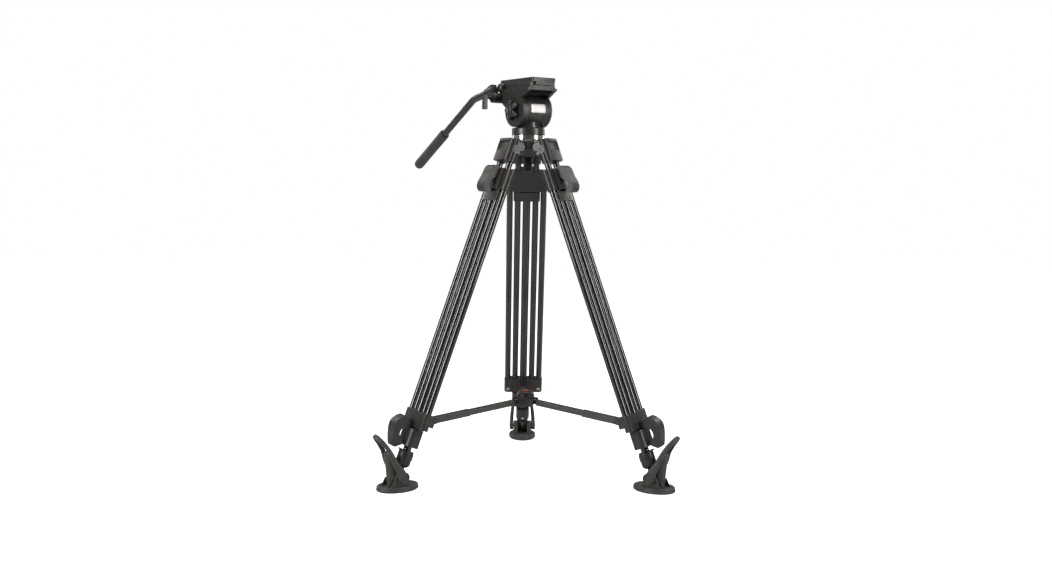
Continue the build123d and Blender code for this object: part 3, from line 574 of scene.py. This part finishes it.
def make_clamp_screws(leg):
    """The two screws in the lower clamp's band, and the caps on the ends of the fold hinge."""
    place = LEG[leg]
    inward = Matrix.Rotation(radians(-90), 4, "Y")
    screws = [cap_screw(place @ at(-11, side * 43, -708) @ inward, 4.3, 1.8) for side in (-1, 1)]
    piece(f"band_screws_{leg}", join(screws), STEEL, f"stage2_{leg}")
    caps = []
    for side in (-1, 1):
        face = place @ Matrix.Rotation(radians(-90 * side), 4, "X")
        cap = [(0, 34.7), (3.4, 34.7), (4, 35.5), (6.4, 35.5), (7.2, 34.9), (7.2, 33)]
        caps.append(lathe(cap, face, 32))
    piece(f"hinge_caps_{leg}", join(caps), CASTING, f"leg_{leg}")


def shoulder_cutters(leg):
    """What rounds the shoulder's outer corners and widens the shallow pocket in its face."""
    place = LEG[leg]
    corner = [(8, 35.05)] + arc(8, 22, 13.05, 90, 0, 8)[1:] + [(40, 22), (40, 60), (8, 60)]
    mirrored = [(x, -y) for x, y in reversed(corner)]
    pocket = rounded_rectangle(26, 50, 2)
    return [prism(corner, -60, 60, place), prism(mirrored, -60, 60, place),
            prism(pocket, -8, 15.5, place @ at(30, 0, 0))]


def make_leg_faces(leg):
    """The shoulder's pocket floor, and the gently bulging outer faces of the two clamps."""
    place = LEG[leg]
    floor = prism([(12.3, -18), (17.2, -18), (17.2, 18), (12.3, 18)], -8, 16.5, place)
    piece(f"pocket_floor_{leg}", floor, CASTING, f"leg_{leg}", bevel=0.5)
    for name, low, high, half, flat, reach in (("upper", -108.4, -55.6, 32, 15.2, 18.2),
                                               ("lower", -718.4, -679.6, 50, 11, 13.6)):
        radius = (half ** 2 + (reach - flat) ** 2) / (2 * (reach - flat))
        spread = degrees(asin(half / radius))
        outline = arc(reach - radius, 0, radius, -spread, spread, 24) + [(flat - 4, half), (flat - 4, -half)]
        face = prism(outline, low, high, place)
        if name == "upper":
            swing = lathe([(0, -SWING_HALF), (SWING_R, -SWING_HALF), (SWING_R, SWING_HALF), (0, SWING_HALF)],
                          place @ at(*UPPER_LEVER_PIN) @ ALONG_Y)
            face = carve(face, [swing])
            face.materials.clear()
        piece(f"{name}_clamp_face_{leg}", face, CASTING, f"stage2_{leg}", bevel=0.8)


for leg in LEGS:
    make_foot(leg)
    make_leg_faces(leg)
    make_strap(leg)
    make_tip(leg)
    make_clamp_screws(leg)
    refine(f"shoulder_{leg}", CASTING, 1.4, cutters=shoulder_cutters(leg))
    for name, material, edge in (("upper_clamp", CASTING, 1.2), ("lower_clamp", CASTING, 1.2),
                                 ("upper_lever", LEVER, 1.4), ("lower_lever", LEVER, 1.2),
                                 ("arm_outer", SPREADER, 0.4), ("arm_mid", SPREADER, 0.3),
                                 ("arm_inner", SPREADER, 0.3)):
        refine(f"{name}_{leg}", material, edge)
    centre = tube(LEG[leg], 0, 137, 792, CENTRE_TUBE_R)
    block = prism(rounded_rectangle(20, 69, 5), -137, -112, LEG[leg])
    piece(f"centre_single_{leg}", centre, CARBON, f"stage3_{leg}", [f"centre_tube_{leg}"])
    piece(f"guide_block_{leg}", block, CASTING, f"stage3_{leg}", bevel=1.0)


# ---------------------------------------------------------------- head

def lobed(rings, lobes, depth, place, turn=0.0, segments=100):
    """A knob: rings of (radius, height, lobing), lobed by depth where lobing is 1."""
    bm = bmesh.new()
    loops = []
    for radius, height, lobing in rings:
        loop = []
        for i in range(segments):
            angle = 2 * pi * i / segments
            wave = (0.5 + 0.5 * cos(lobes * (angle - turn))) ** 0.62
            reach = radius * (1 - lobing * depth * (1 - wave))
            loop.append(bm.verts.new((reach * cos(angle), reach * sin(angle), height)))
        loops.append(loop)
    for first, second in zip(loops, loops[1:]):
        for i in range(segments):
            j = (i + 1) % segments
            bm.faces.new((first[i], first[j], second[j], second[i]))
    bm.faces.new(loops[0])
    bm.faces.new(loops[-1])
    bm.transform(place)
    bmesh.ops.recalc_face_normals(bm, faces=bm.faces)
    mesh = bpy.data.meshes.new("lobed")
    bm.to_mesh(mesh)
    bm.free()
    return mesh


OUT_LEFT = HEAD @ Matrix.Rotation(radians(-90), 4, "Y")
OUT_RIGHT = HEAD @ Matrix.Rotation(radians(90), 4, "Y")

star = lobed([(12, 43.4, 0), (23, 43.4, 1), (24.4, 44.6, 1), (25, 47, 1), (25, 53.5, 1), (24.2, 56, 1),
              (22, 57.6, 1), (15.5, 58.4, 0.4), (12.6, 58.6, 0), (12.2, 57.4, 0), (10.8, 57.2, 0),
              (10.2, 59.6, 0), (8, 61, 0), (4, 61.4, 0), (3.2, 60.6, 0), (0.6, 60.4, 0)], 5, 0.52, OUT_LEFT,
             radians(18))
piece("star_grip", star, KNOB, "star_knob", ["star_knob"], crease=50)
small = lobed([(3, 43.4, 0), (8.4, 43.5, 0), (8.5, 44.3, 1), (8.5, 50.3, 1), (8.0, 51.5, 1), (6.8, 52, 0),
               (4.6, 51.6, 0), (4.2, 50.8, 0), (0.5, 50.7, 0)], 18, 0.07, OUT_RIGHT, 0, 144)
piece("brake_grip", small, KNOB, "brake_knob", ["brake_knob"], crease=50)
dome_face = HEAD @ at(0, 60, 58) @ Matrix.Rotation(radians(-90), 4, "Y")
dome = lathe([(3, 37.4), (12.2, 37.5), (12.5, 38.2), (12.5, 42), (11.9, 45), (10, 48.2), (6.5, 50.4),
              (2.6, 51), (0, 51)], dome_face, 48)
piece("lock_dome", dome, KNOB, "plate_knob", ["plate_knob"])
flutes = lobed([(6.2, 764, 0), (9.5, 764.2, 0.4), (11.5, 767, 1), (11.5, 797, 1), (11, 798, 0.6),
                (15, 798.4, 0), (15, 800.6, 0), (6.2, 800.8, 0)], 8, 0.2, COLUMN)
piece("bowl_grip", flutes, KNOB, "level_knob", ["level_knob"], crease=50)


def drum_patch(width, height, corner, reach, cx, middle, thick):
    """A rounded plate bent round the drum; middle is the angle of its centre above the horizon."""
    columns, rows = 16, 12
    bm = bmesh.new()
    grid = []
    for i in range(columns + 1):
        x = width * (i / columns - 0.5)
        inset = max(0.0, abs(x) - (width / 2 - corner))
        half = height / 2 - corner + sqrt(max(corner ** 2 - inset ** 2, 0.0))
        for j in range(rows + 1):
            angle = radians(middle) + half * (2 * j / rows - 1) / reach
            rim = i in (0, columns) or j in (0, rows)
            radius = reach + (0 if rim else thick)
            grid.append(bm.verts.new((cx + x, -radius * cos(angle), radius * sin(angle))))
    for i in range(columns):
        for j in range(rows):
            a = i * (rows + 1) + j
            bm.faces.new([grid[k] for k in (a, a + 1, a + rows + 2, a + rows + 1)])
    bm.transform(HEAD)
    bmesh.ops.recalc_face_normals(bm, faces=bm.faces)
    mesh = bpy.data.meshes.new("patch")
    bm.to_mesh(mesh)
    bm.free()
    return mesh


piece("badge_rim", drum_patch(47, 26.5, 3.5, 39.3, 3, 7, 0.5), KNOB, "pan_body")
piece("badge_plate", drum_patch(44, 23.5, 3, 39.5, 3, 7, 0.7), BADGE, "pan_body")

ACROSS_HEAD = HEAD @ Matrix(((0, 0, -1, 0), (1, 0, 0, 0), (0, 1, 0, 0), (0, 0, 0, 1)))
for name in ("crown", "pan_base", "head_body", "camera_plate", "handle_mount", "clamp_lever"):
    refine(name, HEAD_PAINT, 0.7)
notch = [(-75, 46.5), (-56, 46.5), (-27, 30.8)] + arc(0, 0, 41.2, 132, 180, 10) + [(-75, 0)]
refine("tilt_frame", HEAD_PAINT, 0.7, cutters=[prism(notch, -50, 50, ACROSS_HEAD)])
refine("half_ball", SILVER, 0.3)
refine("hinge_pins", STEEL, 0.3)
refine("camera_screw", STEEL, 0.2)
refine("spreader_hub", KNOB, 0.5)

front_screws = [cap_screw(HEAD @ at(x, -58, 53.5) @ Matrix.Rotation(radians(90), 4, "X"), 3.3, 1.6)
                for x in (-28, 28)]
piece("receiver_screws", join(front_screws), BLACK_STEEL, "tilt")
button = prism([(-30, 50), (-12, 50), (-6, 60), (-24, 60)], 36.4, 38.2, ACROSS_HEAD)
piece("lock_button", button, KNOB, "tilt", bevel=0.8)

hub_pin = Matrix.Translation(Vector(JOINTS["hub_pivot"]["pos_m"])) @ Matrix.Scale(MM, 4)
mark = lathe([(0, 0.35), (6, 0.3), (9, 0), (9, -0.6)], hub_pin @ at(0, -24, 27.1), 40)
piece("hub_dot", mark, MARK, "hub")


def make_pan_bar():
    """A round bar from the socket, down through one wide bend, into the grip."""
    first, second = (BAR_CORNER - BAR_START).normalized(), (BAR_END - BAR_CORNER).normalized()
    turn = first.angle(second)
    reach = BAR_BEND_R * tan(turn / 2)
    bow = (second - first).normalized()
    centre = BAR_CORNER + bow * (BAR_BEND_R / cos(turn / 2))
    bend_start = BAR_CORNER - first * reach
    points = [BAR_START, BAR_START + (bend_start - BAR_START) * 0.5]
    bend_steps = 12
    for k in range(bend_steps + 1):
        spin = Matrix.Rotation(turn * k / bend_steps, 3, first.cross(second))
        points.append(centre + spin @ (bend_start - centre))
    points += [BAR_CORNER + second * (reach + step) for step in (60, 130, 200)] + [BAR_END]
    bm = bmesh.new()
    layer = bm.loops.layers.uv.new("UVMap")
    rings = []
    for k, point in enumerate(points):
        along = (points[min(k + 1, len(points) - 1)] - points[max(k - 1, 0)]).normalized()
        side = Vector((1, 0, 0))
        over = along.cross(side)
        angles = [2 * pi * i / BAR_SIDES for i in range(BAR_SIDES)]
        rings.append([bm.verts.new(point + side * (BAR_R * cos(a)) + over * (BAR_R * sin(a)))
                      for a in angles])
    for k, (near, far) in enumerate(zip(rings, rings[1:])):
        for i in range(BAR_SIDES):
            j = (i + 1) % BAR_SIDES
            face = bm.faces.new((near[i], near[j], far[j], far[i]))
            for loop, (u, v) in zip(face.loops, ((i, k), (i + 1, k), (i + 1, k + 1), (i, k + 1))):
                loop[layer].uv = (u * 0.0014, v * 0.02)
    bm.faces.new(rings[0][::-1])
    bm.faces.new(rings[-1])
    bm.transform(HEAD)
    bmesh.ops.recalc_face_normals(bm, faces=bm.faces)
    mesh = bpy.data.meshes.new("pan_bar")
    bm.to_mesh(mesh)
    bm.free()
    piece("bent_bar", mesh, HEAD_PAINT, "handle", ["pan_bar"])


make_pan_bar()


def make_grip():
    """Foam sleeve: barrel-rounded, a little proud at the mouth, round at the end."""
    end = HEAD @ BAR_END
    along = (end - HEAD @ BAR_CORNER).normalized()
    tip = end + along * 10 * MM
    turn = along.to_track_quat("Z", "Y").to_matrix().to_4x4()
    place = Matrix.Translation(tip) @ turn @ Matrix.Scale(MM, 4)
    rings = [(9.1, -171.4), (11.4, -172), (13, -171.4), (13.5, -169.8), (13.45, -150), (13.2, -110),
             (13.2, -70), (13.45, -30), (13.5, -12), (13.0, -6.5), (11.2, -2.6), (8, -0.7), (4, 0), (0, 0)]
    grip = piece("foam_sleeve", lathe(rings, place, 48), FOAM, "handle", ["handle_grip"], subdivide=1)


make_grip()


# ---------------------------------------------------------------- floor, light and camera

FLOOR_SIZE = 14
FLOOR_GLOW = 1.0
LAMP_COLOUR = (1.0, 0.968, 0.94)
DARK_SIDE = 0.05
PALE_SIDE = 0.22
SENSOR_WIDTH = 36.0
LENS = 36.643346
CAMERA_OFFSET = Vector((-0.0621, -2.6990, 0.7425))
YAW, PITCH, ROLL = -0.02241, 0.09805, 0.01103


def make_floor():
    """A pale sheet that runs into the backdrop."""
    mesh = bpy.data.meshes.new("floor")
    bm = bmesh.new()
    steps = 24
    for i in range(steps + 1):
        for j in range(steps + 1):
            bm.verts.new(((i / steps - 0.5) * FLOOR_SIZE, (j / steps - 0.5) * FLOOR_SIZE, 0))
    bm.verts.ensure_lookup_table()
    for i in range(steps):
        for j in range(steps):
            a = i * (steps + 1) + j
            bm.faces.new([bm.verts[k] for k in (a, a + steps + 1, a + steps + 2, a + 1)])
    bm.to_mesh(mesh)
    bm.free()
    floor = bpy.data.objects.new("floor", mesh)
    scene.collection.objects.link(floor)
    n = Nodes("pale_floor")
    n.put(n.shader.inputs["Base Color"], n.ramp(n.noise(n.place(), 1.5), [(0.3, (0.55, 0.55, 0.55)),
                                                                         (0.7, (0.57, 0.57, 0.57))]))
    n.shader.inputs["Roughness"].default_value = 0.9
    n.shader.inputs["Specular IOR Level"].default_value = 0.1
    # the sheet is lit from behind as well, so it runs into the white backdrop
    n.shader.inputs["Emission Color"].default_value = (1, 1, 1, 1)
    seen = n.add("ShaderNodeLightPath").outputs["Is Camera Ray"]
    n.put(n.shader.inputs["Emission Strength"], n.math("MULTIPLY", seen, FLOOR_GLOW))
    mesh.materials.append(n.material)


def softbox(name, position, target, size, power):
    light = bpy.data.lights.new(name, "AREA")
    light.shape = "RECTANGLE"
    light.size, light.size_y = size
    light.energy = power
    light.color = LAMP_COLOUR
    obj = bpy.data.objects.new(name, light)
    obj.location = position
    obj.rotation_euler = (Vector(target) - Vector(position)).to_track_quat("-Z", "Y").to_euler()
    scene.collection.objects.link(obj)


make_floor()
softbox("key_left", (-2.5, -1.9, 1.6), (0, 0, 0.6), (0.65, 2.8), 112)
softbox("fill_right", (2.6, -1.8, 1.5), (0, 0, 0.55), (0.5, 2.8), 84)
softbox("top", (0, 0.2, 3.0), (0, 0, 0.5), (2.2, 1.2), 42)
softbox("back_left", (-2.2, 2.6, 1.6), (0, 0, 0.6), (0.4, 2.6), 22)
softbox("back_right", (2.2, 2.6, 1.6), (0, 0, 0.6), (0.4, 2.6), 22)


def make_world():
    """White where the camera looks; for everything else dark in front and pale behind and at the sides."""
    world = bpy.data.worlds.new("studio")
    scene.world = world
    world.use_nodes = True
    tree = world.node_tree
    background = tree.nodes["Background"]
    background.inputs["Color"].default_value = (1, 1, 1, 1)
    seen = tree.nodes.new("ShaderNodeLightPath").outputs["Is Camera Ray"]
    where = tree.nodes.new("ShaderNodeTexCoord")
    split = tree.nodes.new("ShaderNodeSeparateXYZ")
    tree.links.new(where.outputs["Generated"], split.inputs["Vector"])
    front = tree.nodes.new("ShaderNodeMapRange")
    front.inputs["From Min"].default_value = -0.75
    front.inputs["From Max"].default_value = 0.6
    front.inputs["To Min"].default_value = DARK_SIDE
    front.inputs["To Max"].default_value = PALE_SIDE
    tree.links.new(split.outputs["Y"], front.inputs["Value"])
    mix = tree.nodes.new("ShaderNodeMix")
    mix.inputs[3].default_value = 1.0
    tree.links.new(seen, mix.inputs[0])
    tree.links.new(front.outputs["Result"], mix.inputs[2])
    tree.links.new(mix.outputs[0], background.inputs["Strength"])


make_world()

right = Vector((1, 0, 0))
up = Vector((0, sin(PITCH), cos(PITCH)))
ahead = Vector((0, cos(PITCH), -sin(PITCH)))
rolled_right = right * cos(ROLL) + up * sin(ROLL)
rolled_up = up * cos(ROLL) - right * sin(ROLL)
pose = Matrix((rolled_right, rolled_up, -ahead)).transposed().to_4x4()
camera = bpy.data.cameras.new("camera")
camera.sensor_width = SENSOR_WIDTH
camera.lens = LENS
camera.clip_end = 50
eye = bpy.data.objects.new("camera", camera)
scene.collection.objects.link(eye)
eye.matrix_world = (Matrix.Translation(Vector((AXIS.x, AXIS.y, 0)) + CAMERA_OFFSET)
                    @ Matrix.Rotation(YAW, 4, "Z") @ pose)
scene.camera = eye
